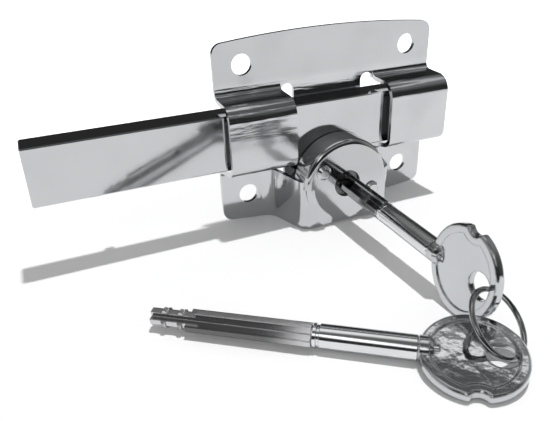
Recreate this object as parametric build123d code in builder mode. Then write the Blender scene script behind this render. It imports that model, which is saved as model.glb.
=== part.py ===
import os
from math import asin, cos, pi, radians, sin, sqrt, tan

from build123d import *

os.makedirs("parts", exist_ok=True)

# X runs along the bolt with the thrown end at -X, the plate's back face is y = 0 and its front
# looks toward -Y, Z is up. The middle of the four fixing holes is the origin. All in millimetres.

# Stamped plate
sheet = 1.5
plate_half = 40.0
plate_top = 31.5
plate_top_corner = 29.2
corner_r = 3.5
hole_x = 30.5
hole_z = 22.35
hole_r = 3.4
guide_inner = 17.5
guide_gap = 2.1
guide_over = 1.3
guide_under = 0.1
shelf_angle = 2.0
foot_angle = 14.0
fold_top_r = 4.0
fold_foot_r = 2.5
fold_outside_r = 3.5
tab_half = 12.7
back_half = 14.5
back_low = -28.0
back_gap = 1.0
slot_round = 11.2
ear_low = -32.2
ear_corner = -31.0
waist_low = -30.8
waist_half = 7.8
ear_half = 6.0
through = 6.0
trim = 4.0

# Bolt bar and its rack
bolt_z = 0.7
bolt_height = 18.0
bolt_thick = 9.2
bolt_behind = 0.5
bolt_left = -99.1
bolt_right = 36.0
bolt_edge = 0.4
travel = 60.0
teeth = 12
pressure_angle = 25.0
backlash = 0.3
rack_depth = 5.2
stop_r = 1.5
stop_proud = 1.7
stop_sink = 4.0
fit = 0.03
seat = 0.02
over = 1.0
root_gap = 0.25
tip_gap = 0.05
stop_gap = 0.2

# Lock boss and barrel on the key's axis
key_x = -2.2
key_z = -16.6
boss_front = -20.5
boss_r = 15.2
boss_shoulder = 2.0
keyhole_r = 4.7
rim_gap = 0.4
bulge_front = -19.6
bulge_vertex = 15.0
bulge_angle = 75.0
bulge_inside_r = 3.0
bulge_outside_r = 6.5
bulge_shift = 0.8
bulge_top = -14.3
face_flat_r = 12.4
face_ramp_r = 14.6
face_blend = 2.5
ramp_step = 0.3
flange_r = 12.5
flange_thick = 2.6
barrel_r = 7.0
sleeve_wall = 0.75
barrel_end = -7.3
plug_r = 4.6
plug_head_r = 6.2
plug_head = 1.2
plug_play = 0.05
head_play = 0.1
nose_play = 0.2
plug_nose = -19.3
plug_end = -0.3
tail_r = 4.2
tail_flat = 3.75
pinion_front = -6.8
pinion_back = -3.0
clip_thick = 0.8
clip_in = 3.85
clip_out = 5.4
clip_mouth = 5.0
pin_rows = (-8.4, -10.4)
pin_hole_r = 0.8
pin_r = 0.75
pin_tip = 3.0
pin_edge = 0.1
driver_long = 0.9
coil_r = 0.5
coil_wire = 0.13
coil_turns = 1.5
rivet_spots = ((-8.9, 5.6), (9.5, -3.6))
rivet_r = 1.5
rivet_head_r = 2.5
rivet_head = 1.3
rivet_dome = 0.9
rivet_tail_r = 1.95
rivet_tail = 0.6

# Key, drawn along +X from its tip, bow in its own XY plane
key_turn = 6.5
tip_y = -1.1
blade_long = 42.1
wing_half = 3.3
wing_thick = 1.7
keyway_play = 0.12
tip_half = 2.2
wing_start_a = 10.3
wing_start_b = 12.6
bump_at = (4.2, 8.6)
bump_high = 0.35
tenon_r = 1.9
tenon_long = 7.0
shank_r = 3.1
shank_long = 24.7
groove_at = 1.1
groove_wide = 0.7
groove_deep = 0.35
groove_edge = 0.2
bow_long = 24.0
bow_half = 12.35
bow_off = 0.4
bow_thick = 2.6
bow_rim = 2.3
bow_dish = 0.4
bow_edge = 0.5
bow_hole_at = 18.1
bow_hole_r = 3.6
bow_hole_edge = 0.35
notch_at = 13.0
notch_out = 13.8
notch_r = 2.5
notch_edge = 0.8
neck_r = 3.1
neck_long = 3.4
neck_edge = 1.0
stub_r = 1.2
stub_long = 4.5

# Ring and the spare key, placed from the ring hole of the key in the lock. The lock stands on its
# ears and on that key's bow, so the table under the spare rises toward the viewer by table_angle.
ring_offset = (-2.14, -8.95, -4.36)
ring_normal = (0.326, -0.612, 0.72)
ring_r = 8.45
wire_r = 0.7
table_angle = 2.58
spare_offset = (-6.35, -15.6, -7.72)
spare_turn = -37.7
spare_lean = 8.6

bolt_back = -sheet - bolt_behind
bolt_front = bolt_back - bolt_thick
bolt_low = bolt_z - bolt_height / 2
guide_back = bolt_front - guide_gap
pitch_r = travel / (2 * pi)
pitch = travel / teeth
pitch_z = key_z + pitch_r
rack_tip = pitch_z - bolt_low
rack_root = rack_tip + root_gap
tan_p = tan(radians(pressure_angle))

# Base plate: one sheet, blanked, folded over the bolt twice and drawn out around the lock
shelf_z = bolt_z + bolt_height / 2 + guide_over
shelf_rise = -guide_back * tan(radians(shelf_angle))
foot_z = bolt_low - guide_under
foot_drop = -guide_back * tan(radians(foot_angle))
with BuildPart() as base_plate:
    with BuildSketch(Plane.YZ.offset(guide_inner)):
        with BuildLine():
            FilletPolyline(
                (0, plate_top + trim),
                (0, shelf_z + shelf_rise),
                (guide_back, shelf_z),
                (guide_back, foot_z),
                (0, foot_z - foot_drop),
                (0, bulge_top - stop_gap),
                radius=(fold_outside_r, fold_top_r, fold_foot_r, fold_outside_r),
            )
            offset(amount=sheet, side=Side.RIGHT)
        make_face()
    extrude(amount=plate_half + trim - guide_inner)
    mirror(about=Plane.YZ)
    with BuildSketch(Plane.XZ):
        slot_half = (guide_inner - tab_half) / 2
        back_top = bolt_low - back_gap
        with Locations((0, (bolt_z + slot_round + plate_top + trim) / 2)):
            Rectangle(2 * guide_inner, plate_top + trim - bolt_z - slot_round)
        with Locations((0, (bolt_z + slot_round + back_top) / 2)):
            Rectangle(2 * tab_half, bolt_z + slot_round - back_top)
        with Locations((key_x, (back_top + back_low) / 2)):
            Rectangle(2 * back_half, back_top - back_low)
        with Locations((key_x, key_z)):
            Circle(tail_r + plug_play, mode=Mode.SUBTRACT)
        with Locations(
            (guide_inner - slot_half, bolt_z + slot_round), (slot_half - guide_inner, bolt_z + slot_round)
        ):
            Circle(slot_half, mode=Mode.SUBTRACT)
    extrude(amount=sheet)
    bulge_x = key_x + bulge_shift
    bulge_back = bulge_front + sheet
    bulge_foot = bulge_vertex - bulge_back / tan(radians(bulge_angle))
    with BuildSketch(Plane.XY.offset(ear_low - trim)):
        with BuildLine():
            FilletPolyline(
                (-plate_half - trim, 0),
                (bulge_x - bulge_foot, 0),
                (bulge_x - bulge_vertex, bulge_back),
                (bulge_x + bulge_vertex, bulge_back),
                (bulge_x + bulge_foot, 0),
                (plate_half + trim, 0),
                radius=(bulge_outside_r, bulge_inside_r, bulge_inside_r, bulge_outside_r),
            )
            offset(amount=sheet, side=Side.RIGHT)
        make_face()
    extrude(amount=bulge_top - ear_low + trim)
    with Locations(Location((key_x, bulge_front, key_z), (90, 0, 0))):
        Cylinder((face_flat_r + face_ramp_r) / 2, through, mode=Mode.SUBTRACT)
    key_axis = Axis((key_x, 0, key_z), (0, -1, 0))
    boss_back = boss_front + sheet
    rim = bolt_front - rim_gap
    with BuildSketch(Plane.XY.offset(key_z)) as cup:
        with BuildLine():
            Polyline(
                (key_x + keyhole_r, boss_front),
                (key_x + boss_r, boss_front),
                (key_x + boss_r, rim),
                (key_x + boss_r - sheet, rim),
                (key_x + boss_r - sheet, boss_back),
                (key_x + keyhole_r, boss_back),
                close=True,
            )
        make_face()
        outer = cup.vertices().sort_by(Axis.X)[-2:].sort_by(Axis.Y)[0]
        inner = cup.vertices().sort_by_distance((key_x + boss_r - sheet, boss_back, key_z))[0]
        fillet(outer, boss_shoulder)
        fillet(inner, boss_shoulder - sheet)
    revolve(axis=key_axis, revolution_arc=180)
    with BuildSketch(Plane.XY.offset(key_z)) as face:
        with BuildLine():
            Polyline(
                (key_x + keyhole_r, boss_front),
                (key_x + face_flat_r, boss_front),
                (key_x + face_ramp_r, bulge_front),
                (key_x + face_ramp_r, bulge_back),
                (key_x + face_flat_r + ramp_step, boss_back),
                (key_x + keyhole_r, boss_back),
                close=True,
            )
        make_face()
        shoulder = face.vertices().sort_by(Axis.Y)[:2].sort_by(Axis.X)[1]
        fillet(shoulder, face_blend)
    revolve(axis=key_axis, revolution_arc=-180)
    with BuildSketch(Plane.XZ.offset(-through)) as blank:
        with BuildLine():
            side = plate_half
            top = ThreePointArc((-side, plate_top_corner), (0, plate_top), (side, plate_top_corner))
            Line((side, plate_top_corner), (side, ear_corner))
            ear_x = (side + key_x + bulge_vertex) / 2
            Spline(
                (side, ear_corner),
                (ear_x + ear_half, (ear_low + ear_corner) / 2),
                (ear_x - ear_half, ear_low),
                (key_x + waist_half, waist_low),
                (key_x - waist_half, waist_low),
                (ear_half - ear_x, ear_low),
                (-ear_x - ear_half, (ear_low + ear_corner) / 2),
                (-side, ear_corner),
            )
            Line((-side, ear_corner), (-side, plate_top_corner))
        make_face()
        fillet([v for v in blank.vertices() if abs(v.X) > side - 0.1], corner_r)
    extrude(amount=2 * through - boss_front, mode=Mode.INTERSECT)
    with Locations(
        *[Location((x, -1, z), (90, 0, 0)) for x in (-hole_x, hole_x) for z in (-hole_z, hole_z)]
    ):
        Cylinder(hole_r, through, mode=Mode.SUBTRACT)
    with Locations(*[Location((key_x + x, boss_front, key_z + z), (90, 0, 0)) for x, z in rivet_spots]):
        Cylinder(rivet_r + plug_play, through, mode=Mode.SUBTRACT)
base_plate.part.label = "base_plate"
export_step(base_plate.part, "parts/base_plate.step")

# Bolt bar: solid bar, rack milled into the back half of its lower edge, two stop pin holes
with BuildPart() as bolt_bar:
    with Locations(((bolt_left + bolt_right) / 2, (bolt_back + bolt_front) / 2, bolt_z)):
        Box(bolt_right - bolt_left, bolt_thick, bolt_height)
    chamfer(bolt_bar.edges(), bolt_edge)
    gap_low = pitch / 2 + 2 * rack_tip * tan_p
    gap_top = pitch / 2 - 2 * rack_root * tan_p
    with BuildSketch(Plane.XZ.offset(-bolt_back - over)):
        with Locations(*[(key_x + pitch * k, bolt_low) for k in range(-teeth - 1, 2)]):
            Polygon(
                (-gap_low / 2 - over * tan_p, -over),
                (gap_low / 2 + over * tan_p, -over),
                (gap_top / 2, rack_tip + rack_root),
                (-gap_top / 2, rack_tip + rack_root),
                align=None,
            )
    extrude(amount=rack_depth + over, mode=Mode.SUBTRACT)
    stop_x = tab_half + stop_r + stop_gap
    stops = [Location((x, bolt_back, bolt_z), (90, 0, 0)) for x in (stop_x, -stop_x - travel)]
    with Locations(*stops):
        Cylinder(stop_r + fit, 2 * stop_sink, mode=Mode.SUBTRACT)
bolt_bar.part.label = "bolt_bar"
export_step(bolt_bar.part, "parts/bolt_bar.step")

# Stop pins: pressed into the bolt's back, they meet the plate's middle tab at both ends of the travel
with BuildPart() as stop_pins:
    with Locations(*[loc * Location((0, 0, (stop_sink - stop_gap - stop_proud) / 2)) for loc in stops]):
        Cylinder(stop_r, stop_sink - stop_gap + stop_proud)
stop_pins.part.label = "stop_pins"
export_step(stop_pins.part, "parts/stop_pins.step")

# Lock barrel: flanged housing behind the boss face, bored for the plug and the pins
flange_front = boss_back + seat
flange_back = flange_front + flange_thick
spots = [Location((key_x + x, 0, key_z + z)) for x, z in rivet_spots]
pin_ways = [
    Location((key_x, y, key_z), (0, key_turn + a, 0)) for y in pin_rows for a in (0, 90, 180, 270)
]
with BuildPart() as lock_barrel:
    with BuildSketch(Plane.XY.offset(key_z)):
        with BuildLine():
            Polyline(
                (key_x + plug_head_r + head_play, flange_front),
                (key_x + flange_r, flange_front),
                (key_x + flange_r, flange_back),
                (key_x + barrel_r, flange_back),
                (key_x + barrel_r, barrel_end),
                (key_x + plug_r + plug_play, barrel_end),
                (key_x + plug_r + plug_play, flange_front + plug_head + head_play),
                (key_x + plug_head_r + head_play, flange_front + plug_head + head_play),
                close=True,
            )
        make_face()
    revolve(axis=key_axis)
    with Locations(*[s * Location((0, flange_front, 0), (90, 0, 0)) for s in spots]):
        Cylinder(rivet_r + plug_play, 3 * flange_thick, mode=Mode.SUBTRACT)
    with Locations(*[w * Location((0, 0, barrel_r)) for w in pin_ways]):
        Cylinder(pin_hole_r, barrel_r, mode=Mode.SUBTRACT)
lock_barrel.part.label = "lock_barrel"
export_step(lock_barrel.part, "parts/lock_barrel.step")

# Barrel sleeve: thin tube that shuts the outer ends of the pin holes
sleeve_long = barrel_end - flange_back - 3 * head_play
with BuildPart() as barrel_sleeve:
    with Locations(Location((key_x, barrel_end - sleeve_long / 2 - head_play, key_z), (90, 0, 0))):
        Cylinder(barrel_r + fit + sleeve_wall, sleeve_long)
        Cylinder(barrel_r + fit, sleeve_long, mode=Mode.SUBTRACT)
barrel_sleeve.part.label = "barrel_sleeve"
export_step(barrel_sleeve.part, "parts/barrel_sleeve.step")

# Barrel rivets: round heads on the boss face, upset behind the flange
with BuildPart() as barrel_rivets:
    with Locations(*spots):
        shank_from = boss_front - head_play
        shank_to = flange_back + head_play
        with Locations(Location((0, (shank_from + shank_to) / 2, 0), (90, 0, 0))):
            Cylinder(rivet_r, shank_to - shank_from)
        with Locations(Location((0, boss_front - seat - rivet_head / 2, 0), (90, 0, 0))):
            Cylinder(rivet_head_r, rivet_head)
        with Locations(Location((0, flange_back + seat + rivet_tail / 2, 0), (90, 0, 0))):
            Cylinder(rivet_tail_r, rivet_tail)
    rims = barrel_rivets.edges().filter_by(GeomType.CIRCLE).group_by(Axis.Y)[0]
    chamfer(rims, rivet_dome, rivet_dome)
barrel_rivets.part.label = "barrel_rivets"
export_step(barrel_rivets.part, "parts/barrel_rivets.step")

# Plug: headed barrel with a cross keyway right through and a flatted tail for the pinion
clip_front = pinion_back + head_play
with BuildPart() as plug:
    with BuildSketch(Plane.XY.offset(key_z)):
        with BuildLine():
            Polyline(
                (key_x, plug_nose),
                (key_x + keyhole_r - nose_play, plug_nose),
                (key_x + keyhole_r - nose_play, flange_front + plug_play),
                (key_x + plug_head_r, flange_front + plug_play),
                (key_x + plug_head_r, flange_front + plug_head),
                (key_x + plug_r, flange_front + plug_head),
                (key_x + plug_r, pinion_front - nose_play),
                (key_x + tail_r, pinion_front - nose_play),
                (key_x + tail_r, clip_front),
                (key_x + clip_in - plug_play, clip_front),
                (key_x + clip_in - plug_play, clip_front + clip_thick + head_play),
                (key_x + tail_r, clip_front + clip_thick + head_play),
                (key_x + tail_r, plug_end),
                (key_x, plug_end),
                close=True,
            )
        make_face()
    revolve(axis=key_axis)
    with Locations((key_x, (pinion_front - nose_play + clip_front) / 2, key_z)):
        tail = clip_front - pinion_front + nose_play
        with Locations((0, 0, tail_flat + tail_r), (0, 0, -tail_flat - tail_r)):
            Box(4 * tail_r, tail, 2 * tail_r, mode=Mode.SUBTRACT)
    way = 2 * (wing_half + keyway_play)
    plug_long = plug_end - plug_nose
    with Locations(Location((key_x, (plug_nose + plug_end) / 2, key_z), (0, key_turn, 0))):
        Box(way, 2 * plug_long, wing_thick + 2 * keyway_play, mode=Mode.SUBTRACT)
        Box(wing_thick + 2 * keyway_play, 2 * plug_long, way, mode=Mode.SUBTRACT)
    with Locations(*[w * Location((0, 0, plug_r)) for w in pin_ways]):
        Cylinder(pin_hole_r, plug_r, mode=Mode.SUBTRACT)
plug.part.label = "plug"
export_step(plug.part, "parts/plug.step")

# Key pins: eight in the plug, round-ended, resting on the key's bits
with BuildPart() as key_pins:
    for w in pin_ways:
        with Locations(w * Location((0, 0, (pin_tip + plug_r - plug_play) / 2))):
            Cylinder(pin_r, plug_r - plug_play - pin_tip)
    chamfer(key_pins.edges().filter_by(GeomType.CIRCLE), pin_edge)
key_pins.part.label = "key_pins"
export_step(key_pins.part, "parts/key_pins.step")

# Driver pins: eight in the barrel, just outside the plug
driver_in = plug_r + plug_play + seat
with BuildPart() as driver_pins:
    for w in pin_ways:
        with Locations(w * Location((0, 0, driver_in + driver_long / 2))):
            Cylinder(pin_r, driver_long)
    chamfer(driver_pins.edges().filter_by(GeomType.CIRCLE), pin_edge)
driver_pins.part.label = "driver_pins"
export_step(driver_pins.part, "parts/driver_pins.step")

# Pin springs: eight small coils between the drivers and the sleeve
coil_from = driver_in + driver_long + coil_wire + seat
coil_high = barrel_r - coil_from - coil_wire - seat
with BuildPart() as pin_springs:
    with BuildLine():
        coil = Helix(pitch=coil_high / coil_turns, height=coil_high, radius=coil_r)
    with BuildSketch(Plane(origin=coil @ 0, z_dir=coil % 0)):
        RegularPolygon(coil_wire, 4)
    one = sweep(path=coil, is_frenet=True, mode=Mode.PRIVATE)
    for w in pin_ways:
        add(one.moved(w * Location((0, 0, coil_from))))
pin_springs.part.label = "pin_springs"
export_step(pin_springs.part, "parts/pin_springs.step")

# Drive pinion: twelve involute teeth, one turn moves the bolt by its whole travel
base_r = pitch_r * cos(radians(pressure_angle))
tip_r = pitch_r + rack_tip - tip_gap
root_r = pitch_r - rack_root - tip_gap
inv_pitch = tan_p - radians(pressure_angle)
half_pitch_angle = (pitch / 2 - backlash) / (2 * pitch_r)
flank = []
for step in range(7):
    r = base_r + (tip_r - base_r) * step / 6
    at = sqrt(max((r / base_r) ** 2 - 1, 0))
    flank.append((r, half_pitch_angle + inv_pitch - (at - asin(sqrt(max(1 - (base_r / r) ** 2, 0))))))
outline = []
for tooth in range(teeth):
    middle = pi / 2 + 2 * pi * tooth / teeth
    outline.append((root_r * cos(middle - flank[0][1]), root_r * sin(middle - flank[0][1])))
    outline += [(r * cos(middle - a), r * sin(middle - a)) for r, a in flank]
    outline += [(r * cos(middle + a), r * sin(middle + a)) for r, a in reversed(flank)]
    outline.append((root_r * cos(middle + flank[0][1]), root_r * sin(middle + flank[0][1])))
with BuildPart() as drive_pinion:
    with BuildSketch(Plane((key_x, pinion_front, key_z), x_dir=(1, 0, 0), z_dir=(0, -1, 0))):
        Polygon(*outline, align=None)
        with BuildSketch(mode=Mode.SUBTRACT):
            Circle(tail_r + fit)
            Rectangle(4 * tail_r, 2 * (tail_flat + fit), mode=Mode.INTERSECT)
    extrude(amount=pinion_front - pinion_back)
drive_pinion.part.label = "drive_pinion"
export_step(drive_pinion.part, "parts/drive_pinion.step")

# Pinion clip: open ring in the groove of the plug's tail
with BuildPart() as pinion_clip:
    with BuildSketch(Plane((key_x, clip_front + plug_play, key_z), x_dir=(1, 0, 0), z_dir=(0, 1, 0))):
        Circle(clip_out)
        Circle(clip_in, mode=Mode.SUBTRACT)
        with Locations((0, clip_out)):
            Rectangle(clip_mouth, clip_out, mode=Mode.SUBTRACT)
    extrude(amount=clip_thick)
pinion_clip.part.label = "pinion_clip"
export_step(pinion_clip.part, "parts/pinion_clip.step")

# The key's three pieces: cross blade, round shank sleeve, flat bow
with BuildPart() as blade_form:
    for start, turn in ((wing_start_a, 0), (wing_start_b, 90)):
        with Locations(Location(((start + blade_long) / 2, 0, 0), (turn, 0, 0))):
            Box(blade_long - start, 2 * wing_half, wing_thick)
    for turn in (0, 90):
        with Locations(Location((blade_long / 2, 0, 0), (turn, 0, 0))):
            Box(blade_long, 2 * tip_half, wing_thick)
    chamfer(blade_form.faces().sort_by(Axis.X)[0].edges(), bow_edge)
    for x in bump_at:
        for turn in (0, 90, 180, 270):
            with Locations(Location((x, 0, 0), (turn, 0, 0)) * Location((0, tip_half, 0))):
                Cylinder(bump_high * 2, wing_thick * 0.9)
    with Locations(Location((blade_long + tenon_long / 2, 0, 0), (0, 90, 0))):
        Cylinder(tenon_r, tenon_long + seat)

with BuildPart() as shank_form:
    with BuildSketch(Plane.XY):
        with BuildLine():
            end = blade_long + shank_long
            Polyline(
                (blade_long + seat, tenon_r + fit),
                (blade_long + seat, shank_r - groove_deep),
                (blade_long + seat + groove_deep, shank_r),
                (blade_long + groove_at, shank_r),
                (blade_long + groove_at + groove_edge, shank_r - groove_deep),
                (blade_long + groove_at + groove_wide, shank_r - groove_deep),
                (blade_long + groove_at + groove_wide + groove_edge, shank_r),
                (end - groove_deep, shank_r),
                (end, shank_r - groove_deep),
                (end, stub_r),
                (end + stub_long, stub_r),
                (end + stub_long, 0),
                (blade_long + tenon_long + groove_edge, 0),
                (blade_long + tenon_long + groove_edge, tenon_r + fit),
                close=True,
            )
        make_face()
    revolve(axis=Axis.X)

bow_from = blade_long + shank_long
bow_mid = bow_from + bow_long / 2
with BuildPart() as bow_form:
    with BuildSketch(Plane.XY.offset(-bow_thick / 2)) as bow_shape:
        with Locations((bow_mid, bow_off)):
            Ellipse(bow_long / 2, bow_half)
        with Locations((bow_from + notch_at, notch_out)):
            Circle(notch_r, mode=Mode.SUBTRACT)
        fillet([v for v in bow_shape.vertices() if v.Y > bow_half / 2], notch_edge)
    extrude(amount=bow_thick)
    chamfer(bow_form.edges().group_by(Axis.Z)[0] + bow_form.edges().group_by(Axis.Z)[-1], bow_edge)
    with BuildSketch(Plane.XY.offset(bow_thick / 2), Plane.XY.offset(-bow_thick / 2)):
        with Locations((bow_mid, bow_off)):
            Ellipse(bow_long / 2 - bow_rim, bow_half - bow_rim)
        with Locations((bow_from + notch_at, notch_out)):
            Circle(notch_r + bow_rim, mode=Mode.SUBTRACT)
    extrude(amount=bow_dish, both=True, mode=Mode.SUBTRACT)
    with BuildSketch(Plane.XY):
        with BuildLine():
            Polyline(
                (bow_from + plug_play, 0),
                (bow_from + plug_play, neck_r),
                (bow_from + neck_long - neck_edge, neck_r),
                (bow_from + neck_long, neck_r - neck_edge),
                (bow_from + neck_long, 0),
                close=True,
            )
        make_face()
    revolve(axis=Axis.X)
    with Locations((bow_from + bow_hole_at, 0, 0)):
        web = bow_thick / 2 - bow_dish
        Cylinder(bow_hole_r, bow_thick, mode=Mode.SUBTRACT)
        with Locations((0, 0, web), Location((0, 0, -web), (180, 0, 0))):
            Cone(bow_hole_r - bow_hole_edge, bow_hole_r + bow_hole_edge, 2 * bow_hole_edge, mode=Mode.SUBTRACT)
    with Locations(Location((bow_from, 0, 0), (0, 90, 0))):
        Cylinder(stub_r + fit, 2 * (stub_long + head_play), mode=Mode.SUBTRACT)

# Key in the lock: along -Y on the key axis, bow nearly upright, notch on top
turned = radians(key_turn)
in_lock = Plane((key_x, tip_y, key_z), x_dir=(0, -1, 0), z_dir=(-cos(turned), 0, sin(turned)))
with BuildPart() as key_blade:
    add(blade_form.part.moved(in_lock.location))
key_blade.part.label = "key_blade"
export_step(key_blade.part, "parts/key_blade.step")
with BuildPart() as key_shank:
    add(shank_form.part.moved(in_lock.location))
key_shank.part.label = "key_shank"
export_step(key_shank.part, "parts/key_shank.step")
with BuildPart() as key_bow:
    add(bow_form.part.moved(in_lock.location))
key_bow.part.label = "key_bow"
export_step(key_bow.part, "parts/key_bow.step")

# Key ring: one closed turn of wire through both bow holes
ring_hole = Vector(key_x, tip_y - bow_from - bow_hole_at, key_z)
with BuildPart() as key_ring:
    with Locations(Plane(ring_hole + Vector(*ring_offset), z_dir=ring_normal).location):
        Torus(ring_r, wire_r)
key_ring.part.label = "key_ring"
export_step(key_ring.part, "parts/key_ring.step")

# Spare key: the same three pieces lying on the table, resting on the shank and the bow's near rim
on_table = (
    Location(ring_hole + Vector(*spare_offset))
    * Location((0, 0, 0), (-table_angle, 0, 0))
    * Location((0, 0, 0), (0, 0, spare_turn))
    * Location((0, 0, 0), (180 + spare_lean, 0, 0))
    * Location((-bow_from - bow_hole_at, 0, 0))
)
with BuildPart() as spare_blade:
    add(blade_form.part.moved(on_table))
spare_blade.part.label = "spare_blade"
export_step(spare_blade.part, "parts/spare_blade.step")
with BuildPart() as spare_shank:
    add(shank_form.part.moved(on_table))
spare_shank.part.label = "spare_shank"
export_step(spare_shank.part, "parts/spare_shank.step")
with BuildPart() as spare_bow:
    add(bow_form.part.moved(on_table))
spare_bow.part.label = "spare_bow"
export_step(spare_bow.part, "parts/spare_bow.step")
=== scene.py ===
from math import radians

import bpy
import numpy as np
from mathutils import Matrix, Vector

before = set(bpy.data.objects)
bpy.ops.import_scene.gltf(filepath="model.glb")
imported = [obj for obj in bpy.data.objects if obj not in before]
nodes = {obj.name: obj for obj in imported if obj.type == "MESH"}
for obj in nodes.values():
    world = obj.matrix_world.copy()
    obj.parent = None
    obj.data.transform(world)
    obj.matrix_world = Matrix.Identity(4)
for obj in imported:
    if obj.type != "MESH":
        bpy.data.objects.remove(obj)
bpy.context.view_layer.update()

# Pressed plate
# One blank of 1.5 mm steel, folded over the bolt at two places and drawn out round the lock, then
# nickel plated bright. The press leaves it faintly wavy, and handling has hazed it with fine marks.


class Signal:
    """A shader socket in ordinary sums: each operator adds one Math node to the finish's tree."""

    def __init__(self, finish, socket):
        self.finish = finish
        self.socket = socket

    def sum(self, operation, other, swapped=False):
        first, second = (other, self) if swapped else (self, other)
        return self.finish.node("ShaderNodeMath", {"operation": operation}, {0: first, 1: second})

    def __add__(self, other):
        return self.sum("ADD", other)

    __radd__ = __add__

    def __sub__(self, other):
        return self.sum("SUBTRACT", other)

    def __rsub__(self, other):
        return self.sum("SUBTRACT", other, swapped=True)

    def __mul__(self, other):
        return self.sum("MULTIPLY", other)

    __rmul__ = __mul__

    def __abs__(self):
        return self.finish.node("ShaderNodeMath", {"operation": "ABSOLUTE"}, {0: self})

    def between(self, low, high):
        """0 below low, 1 above high and a smooth rise from one to the other."""
        return self.finish.node(
            "ShaderNodeMapRange",
            {"interpolation_type": "SMOOTHSTEP"},
            {"Value": self, "From Min": low, "From Max": high},
        )

    def band(self, rise, fall):
        """Goes from 0 to 1 over the pair rise and back to 0 over the pair fall."""
        return self.between(*rise) * (1 - self.between(*fall))


class Finish:
    """One node tree with its nodes added by type, settings and socket values."""

    def __init__(self, tree):
        self.tree = tree

    def node(self, kind, settings=None, values=None, out=0):
        made = self.tree.nodes.new(kind)
        for name, value in (settings or {}).items():
            setattr(made, name, value)
        for name, value in (values or {}).items():
            self.feed(made.inputs[name], value)
        return Signal(self, made.outputs[out])

    def feed(self, socket, value):
        if isinstance(value, Signal):
            self.tree.links.new(value.socket, socket)
        else:
            socket.default_value = value

    def place(self):
        """Object coordinates: metres in the part's own frame."""
        return self.node("ShaderNodeTexCoord", out=3)

    def axes(self, vector):
        """The x, y and z of a vector."""
        apart = self.tree.nodes.new("ShaderNodeSeparateXYZ")
        self.feed(apart.inputs[0], vector)
        return [Signal(self, part) for part in apart.outputs]

    def measure(self, operation, place, against):
        """One number from two vectors, such as their distance or dot product."""
        return self.node("ShaderNodeVectorMath", {"operation": operation}, {0: place, 1: against}, out=1)

    def noise(self, place, scale, detail=2.0, roughness=0.5):
        return self.node(
            "ShaderNodeTexNoise",
            None,
            {"Vector": place, "Scale": scale, "Detail": detail, "Roughness": roughness},
        )

    def stretched(self, place, turn, scale):
        """The place turned back by three angles in degrees and then multiplied along each axis."""
        return self.node(
            "ShaderNodeMapping",
            {"vector_type": "TEXTURE"},
            {"Vector": place, "Rotation": [radians(a) for a in turn], "Scale": [1 / s for s in scale]},
        )

    def bump(self, strength, distance, height):
        return self.node(
            "ShaderNodeBump", None, {"Strength": strength, "Distance": distance, "Height": height}
        )

    def blend(self, share, first, second):
        return self.node(
            "ShaderNodeMix", {"data_type": "RGBA"}, {0: share, 6: first, 7: second}, out=2
        )

    def paint_shade_over(self, share, colour):
        """Blends a colour over what already feeds the shader's Base Color; here it lays painted shade.
        """
        socket = self.tree.nodes["Principled BSDF"].inputs["Base Color"]
        clean = Signal(self, socket.links[0].from_socket)
        self.feed(socket, self.blend(share, clean, (*colour, 1)))


def new_material(name):
    """A material with the finish that builds its tree and the sockets of its shader."""
    material = bpy.data.materials.new(name)
    material.use_nodes = True
    return material, Finish(material.node_tree), material.node_tree.nodes["Principled BSDF"].inputs


def plated(name, colour, shade, gloss, wave, marks, grain, grain_turn=(0, 0, 0)):
    """Bright plating: a slow haze and fine specks change gloss and colour, hairline marks cross it,
    and a shallow wave bends what it mirrors. grain is how strongly the base metal's lines show."""
    material, finish, sockets = new_material(name)
    place = finish.place()
    haze = finish.noise(place, 46.0, 3.0)
    specks = finish.noise(place, 1300.0, 2.0, 0.6)
    line_a = finish.noise(finish.stretched(place, (20, 35, 15), (60, 2600, 2600)), 1.0, 1.0)
    line_b = finish.noise(finish.stretched(place, (-15, 10, 70), (90, 3400, 3400)), 1.0, 1.0)
    hairs_a = (1 - abs(line_a - 0.5) * 42.0).between(0.0, 1.0)
    hairs_b = (1 - abs(line_b - 0.5) * 55.0).between(0.0, 1.0)
    hairs = hairs_a + hairs_b
    worn = haze.between(0.45, 0.75)
    lines = finish.noise(finish.stretched(place, grain_turn, (25, 1900, 1900)), 1.0, 2.0)
    tint = finish.blend(worn * 0.55 + hairs * 0.12, (*colour, 1), (*shade, 1))
    finish.feed(sockets["Base Color"], tint)
    dulled = 1 + worn * 0.5 + specks.between(0.5, 0.8) * 0.5
    finish.feed(sockets["Roughness"], gloss * dulled + hairs * marks * 0.06 + lines * grain * 0.06)
    sockets["Metallic"].default_value = 1.0
    swell = finish.noise(place, 95.0, 1.0)
    height = swell * wave + specks * 0.004 - hairs * marks * 0.02 + lines * grain * 0.03
    finish.feed(sockets["Normal"], finish.bump(0.6, 0.0001, height))
    return material


def dress(node_name, material, crease=32.0):
    """Gives a CAD node its finish and lets its curved faces shade as one, split only at real edges."""
    node = nodes[node_name]
    node.data.materials.clear()
    node.data.materials.append(material)
    node.data.polygons.foreach_set("use_smooth", np.ones(len(node.data.polygons), bool))
    weld = node.modifiers.new("weld", "WELD")
    weld.merge_threshold = 2e-6
    edges = node.modifiers.new("edges", "EDGE_SPLIT")
    edges.split_angle = radians(crease)


plate_colour = (0.62, 0.63, 0.645)
plate_shade = (0.5, 0.51, 0.525)
plate_metal = plated("plated_sheet", plate_colour, plate_shade, 0.09, 0.5, 0.5, 0.15)
plate_sockets = plate_metal.node_tree.nodes["Principled BSDF"].inputs
press = Finish(plate_metal.node_tree)
spot = press.place()
along, outward, height = press.axes(spot)
depth = 0 - outward
at_guides = abs(along).between(0.0172, 0.0174)

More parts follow.
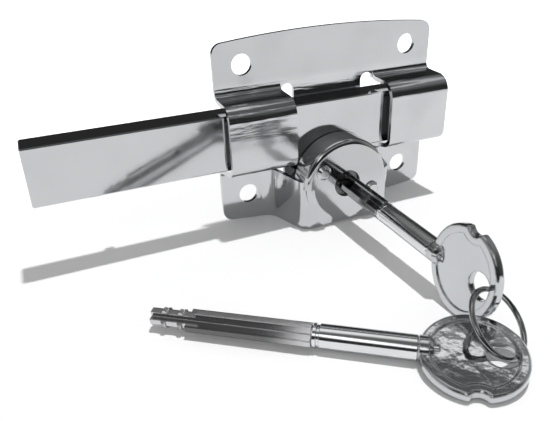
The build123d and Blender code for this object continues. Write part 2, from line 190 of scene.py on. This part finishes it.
# Rolling lines over the folds, plain on the thrown side and faint on the other.
thrown_side = (0 - along).between(0.0, 0.01)
folded = height.band((0.0, 0.006), (0.0145, 0.016)) * (0.3 + thrown_side * 0.7)
rolls = press.noise(press.stretched(spot, (0, 0, 0), (40, 420, 420)), 1.0, 3.0, 0.6)
pressed = press.bump(1.0, 0.0002, folded * rolls)
press.feed(
    pressed.socket.node.inputs["Normal"], Signal(press, plate_metal.node_tree.nodes["Bump"].outputs[0])
)
press.feed(plate_sockets["Normal"], pressed)

# Painted shade: the flange and the upper boss face are greyed so that what they mirror reads dimmer.
# The drawn wall is dull, and the insides of the guides are nearly bare.
painted_dim_front = height.between(0.014, 0.018) + depth.between(0.018, 0.02) * height.between(-0.022, -0.012)
press.paint_shade_over(painted_dim_front * 0.25, (0.3, 0.31, 0.32))
inside = depth.band((0.0128, 0.0129), (0.0137, 0.0138)) * at_guides
inside = inside * height.band((-0.008, -0.0055), (0.0065, 0.0085))
drawn = depth.band((0.0112, 0.0118), (0.0185, 0.0195)) * height.between(-0.018, -0.012)
drawn = drawn * (1 - at_guides)
press.feed(plate_sockets["Metallic"], 1 - inside * 0.9 - drawn * 0.1)
dress("base_plate", plate_metal)

# Bolt bar
# A drawn flat bar, cut to length, chamfered and plated with the plate. It is the flattest piece,
# so its face mirrors the table cleanly, with the drawing lines just showing along it.

bar_colour = (0.6, 0.61, 0.625)
bar_shade = (0.53, 0.54, 0.555)
dress("bolt_bar", plated("plated_bar", bar_colour, bar_shade, 0.05, 0.08, 0.4, 0.2))

# Stop pins, sleeve, pinion, springs and clip
# Small turned, wound and stamped steel pieces behind the plate. The turned ones are zinc plated, and
# all of them are duller than the outside.


def turned(name, colour, gloss):
    """Plain turned metal: fine lines left by the tool, and a patchy film of oil on it."""
    material, finish, sockets = new_material(name)
    place = finish.place()
    film = finish.noise(place, 160.0, 3.0)
    tool = finish.noise(finish.stretched(place, (0, 0, 0), (120, 2400, 120)), 1.0, 1.0)
    dark = tuple(c * 0.72 for c in colour)
    finish.feed(sockets["Base Color"], finish.blend(film.between(0.4, 0.7), (*colour, 1), (*dark, 1)))
    finish.feed(sockets["Roughness"], gloss + film * 0.14 + tool * 0.08)
    sockets["Metallic"].default_value = 1.0
    finish.feed(sockets["Normal"], finish.bump(0.4, 0.00004, tool))
    return material


zinc_steel = turned("turned_steel", (0.6, 0.61, 0.62), 0.24)
spring_steel = turned("spring_steel", (0.46, 0.46, 0.47), 0.28)
for node_name in ("stop_pins", "barrel_sleeve", "drive_pinion"):
    dress(node_name, zinc_steel)
for node_name in ("pin_springs", "pinion_clip"):
    dress(node_name, spring_steel)

# Lock barrel and rivets
# The barrel is a tumbled zinc casting held behind the boss by two rivets, whose plated round heads
# are all that shows of it from the front.

dress("lock_barrel", turned("zinc_barrel", (0.58, 0.59, 0.61), 0.36))
dress("barrel_rivets", plated("rivet_steel", plate_colour, plate_shade, 0.16, 0.2, 0.3, 0.0), 40.0)

# Plug and pins
# Turned brass. The plug is coloured dark grey as painted shade in the recessed keyhole round the key,
# and the pins inside have kept their brass colour.

plug_brass = turned("plug_brass", (0.2, 0.2, 0.2), 0.26)
pin_brass = turned("pin_brass", (0.72, 0.58, 0.33), 0.24)
dress("plug", plug_brass)
dress("key_pins", pin_brass)
dress("driver_pins", pin_brass)

# Keys
# Each key is a cast cross blade pressed into a bright tube, with a flat stamped bow fixed on its far
# end. The bows ride together in a pocket, so they carry the most hairline marks.

# The two blades are one metal: the blade in the lock is coloured darker as painted shade, and the spare
# lighter as painted light.
shaded_blade_colour = (0.46, 0.46, 0.47)
shaded_blade_haze = (0.34, 0.34, 0.35)
lit_spare_colour = (0.64, 0.64, 0.65)
lit_spare_haze = (0.5, 0.5, 0.51)
bow_colour = (0.6, 0.615, 0.63)
bow_shade = (0.52, 0.53, 0.54)
along_key = (0, 0, 90)
along_spare = (0, 0, 143.5)
blade_metal = plated("key_blade_steel", shaded_blade_colour, shaded_blade_haze, 0.05, 0.2, 0.4, 0.4, along_key)
spare_metal = plated("spare_blade_steel", lit_spare_colour, lit_spare_haze, 0.03, 0.2, 0.4, 0.4, along_spare)
shank_metal = plated("key_shank_steel", (0.78, 0.79, 0.8), (0.7, 0.705, 0.71), 0.09, 0.08, 0.4, 0.2)
bow_metal = plated("key_bow_plate", bow_colour, bow_shade, 0.05, 1.1, 0.35, 0.2)

# Tumbling has rounded the edges of blades and bows, and left shallow dents on the bows.
for metal, edge in ((bow_metal, 0.0007), (blade_metal, 0.0004), (spare_metal, 0.0004)):
    key_finish = Finish(metal.node_tree)
    surface = key_finish.node("ShaderNodeBevel", {"samples": 6}, {"Radius": edge})
    if metal is bow_metal:
        dented = key_finish.bump(1.0, 0.00005, key_finish.noise(key_finish.place(), 300.0, 2.0, 0.5))
        key_finish.feed(dented.socket.node.inputs["Normal"], surface)
        surface = dented
    key_finish.feed(metal.node_tree.nodes["Bump"].inputs["Normal"], surface)

# Painted shade along the spare blade's lower near edge, standing in for the key's own shadow mirrored
# there, fading toward its shank.
spare_finish = Finish(spare_metal.node_tree)
spot = spare_finish.place()
near_side = spare_finish.measure("DOT_PRODUCT", spot, (-0.6, -0.79, -0.11))
tip_side = spare_finish.measure("DOT_PRODUCT", spot, (-1, 0, 0))
painted_edge_shade = near_side.between(0.0903, 0.0908) * tip_side.between(0.044, 0.054)
spare_finish.paint_shade_over(painted_edge_shade * 0.9, (0.1, 0.1, 0.1))
dress("key_blade", blade_metal)
dress("spare_blade", spare_metal)
for owner in ("key", "spare"):
    dress(f"{owner}_shank", shank_metal)
    dress(f"{owner}_bow", bow_metal, 28.0)

# Key ring
# One turn of plated spring wire through both bows, coloured an even grey
# darker than the keys.

dress("key_ring", plated("ring_wire", (0.38, 0.385, 0.39), (0.28, 0.285, 0.29), 0.12, 0.1, 0.6, 0.3))

# Table
# A white table top. The lock stands on the plate's ears and on the bow of the key in it, so the top
# is worked out from their lowest points and rises a little toward the eye.


def corners(node_name):
    """The node's mesh points as rows of x, y, z."""
    mesh = nodes[node_name].data
    points = np.empty(3 * len(mesh.vertices))
    mesh.vertices.foreach_get("co", points)
    return points.reshape(-1, 3)


plate_points = corners("base_plate")
foot = plate_points[plate_points[:, 2].argmin()]
resting = np.vstack([corners("key_bow"), corners("spare_bow"), corners("spare_blade")])
table_slope = ((resting[:, 2] - foot[2]) / (foot[1] - resting[:, 1])).min()
table_half = 2.0
table_corners = [(x * table_half, y * table_half) for x, y in ((-1, -1), (1, -1), (1, 1), (-1, 1))]
table_mesh = bpy.data.meshes.new("table")
table_mesh.from_pydata(
    [(x, y, foot[2] + (foot[1] - y) * table_slope) for x, y in table_corners], [], [(0, 1, 2, 3)]
)
table = bpy.data.objects.new("table", table_mesh)
bpy.context.scene.collection.objects.link(table)
table_paint, paint, paint_sockets = new_material("table_white")
paint_sockets["Base Color"].default_value = (0.86, 0.86, 0.865, 1)
paint_sockets["Roughness"].default_value = 0.9
paint_sockets["Specular IOR Level"].default_value = 0.1
seen = paint.node("ShaderNodeLightPath", out="Is Camera Ray")
mirrored = paint.node("ShaderNodeLightPath", out="Is Glossy Ray")
away = paint.measure("DISTANCE", paint.place(), (-0.03, -0.05, -0.03))
table_lift = 0.08 + away.between(0.08, 0.24) * 0.6
paint_sockets["Emission Strength"].default_value = 1.0
paint.feed(paint_sockets["Emission Color"], (seen + mirrored * 0.2) * table_lift)
table.data.materials.append(table_paint)

# Room
# White where the eye meets it and an even soft fill for the light. The metal mirrors dim walls with
# a few bright bands, so what faces up is dark and what faces the eye is pale.

world = bpy.data.worlds.new("studio")
bpy.context.scene.world = world
world.use_nodes = True
room = Finish(world.node_tree)
background = world.node_tree.nodes["Background"]
across, ahead, up = room.axes(room.node("ShaderNodeTexCoord", out=0))
eye = room.node("ShaderNodeLightPath", out="Is Camera Ray")
mirrored = room.node("ShaderNodeLightPath", out="Is Glossy Ray")
soft_fill = 0.38
strip = (up - across * 0.05).band((0.762, 0.769), (0.779, 0.787))
far_wall = up.band((0.45, 0.78), (0.8, 0.82))
zenith = up.between(0.9, 0.95) * ahead.between(-0.15, 0.15)
pane = across.band((-0.65, -0.61), (-0.5, -0.4)) * (0 - ahead).between(0.3, 0.42)
pane = pane * up.between(0.45, 0.55)
right_wall = across.between(0.65, 0.95)
left_wall = (0 - across).between(0.4, 0.85) * ahead.between(-0.35, 0)
ceiling = up.between(0.8, 0.84)
dim_walls = 0.03 + (right_wall + left_wall) * 0.3 + far_wall * 0.2 + ceiling * 0.1
bright_bands = strip * 1.1 + zenith * 0.8 + pane * 1.4
plain = soft_fill * (1 - mirrored) + (dim_walls + bright_bands) * mirrored
room.feed(background.inputs["Strength"], plain * (1 - eye) + eye)
background.inputs["Color"].default_value = (1, 1, 1, 1)

# Lamp
# One small square lamp about a metre up and a little to the right, which throws the bolt's and the
# key's shadows to the left. The room's bands stand in for it in the metal.

lamp_place = Vector((0.086, -0.0205, 0.98))
lamp_aim = Vector((-0.03, -0.04, 0))
lamp_side = 0.035
lamp_watts = 7.6
light = bpy.data.lights.new("overhead_lamp", "AREA")
light.shape = "RECTANGLE"
light.size = lamp_side
light.size_y = lamp_side
light.energy = lamp_watts
lamp = bpy.data.objects.new("overhead_lamp", light)
lamp_turn = (lamp_aim - lamp_place).to_track_quat("-Z", "Y")
lamp.matrix_world = Matrix.Translation(lamp_place) @ lamp_turn.to_matrix().to_4x4()
lamp.visible_glossy = False
bpy.context.scene.collection.objects.link(lamp)

# Camera
# A plain lens a little above and to the left of the lock, close enough for the keys to look large
# against the plate.

camera_place = Vector((-0.09115, -0.17384, 0.06551))
camera_turn = -22.17
camera_tilt = 62.48
camera_roll = -1.97
focal_px = 580.4
picture_width = 551
picture_height = 421
optical_centre = (274.81, 210.7)
lens = bpy.data.cameras.new("camera")
lens.sensor_width = 36.0
lens.lens = focal_px / picture_width * lens.sensor_width
lens.shift_x = (picture_width / 2 - optical_centre[0]) / picture_width
lens.shift_y = (optical_centre[1] - picture_height / 2) / picture_width
lens.clip_start = 0.005
camera = bpy.data.objects.new("camera", lens)
turn = Matrix.Rotation(radians(camera_turn), 4, "Z")
tilt = Matrix.Rotation(radians(camera_tilt), 4, "X")
roll = Matrix.Rotation(radians(camera_roll), 4, "Z")
camera.matrix_world = Matrix.Translation(camera_place) @ turn @ tilt @ roll
bpy.context.scene.collection.objects.link(camera)
bpy.context.scene.camera = camera
bpy.context.scene.view_settings.view_transform = "Standard"
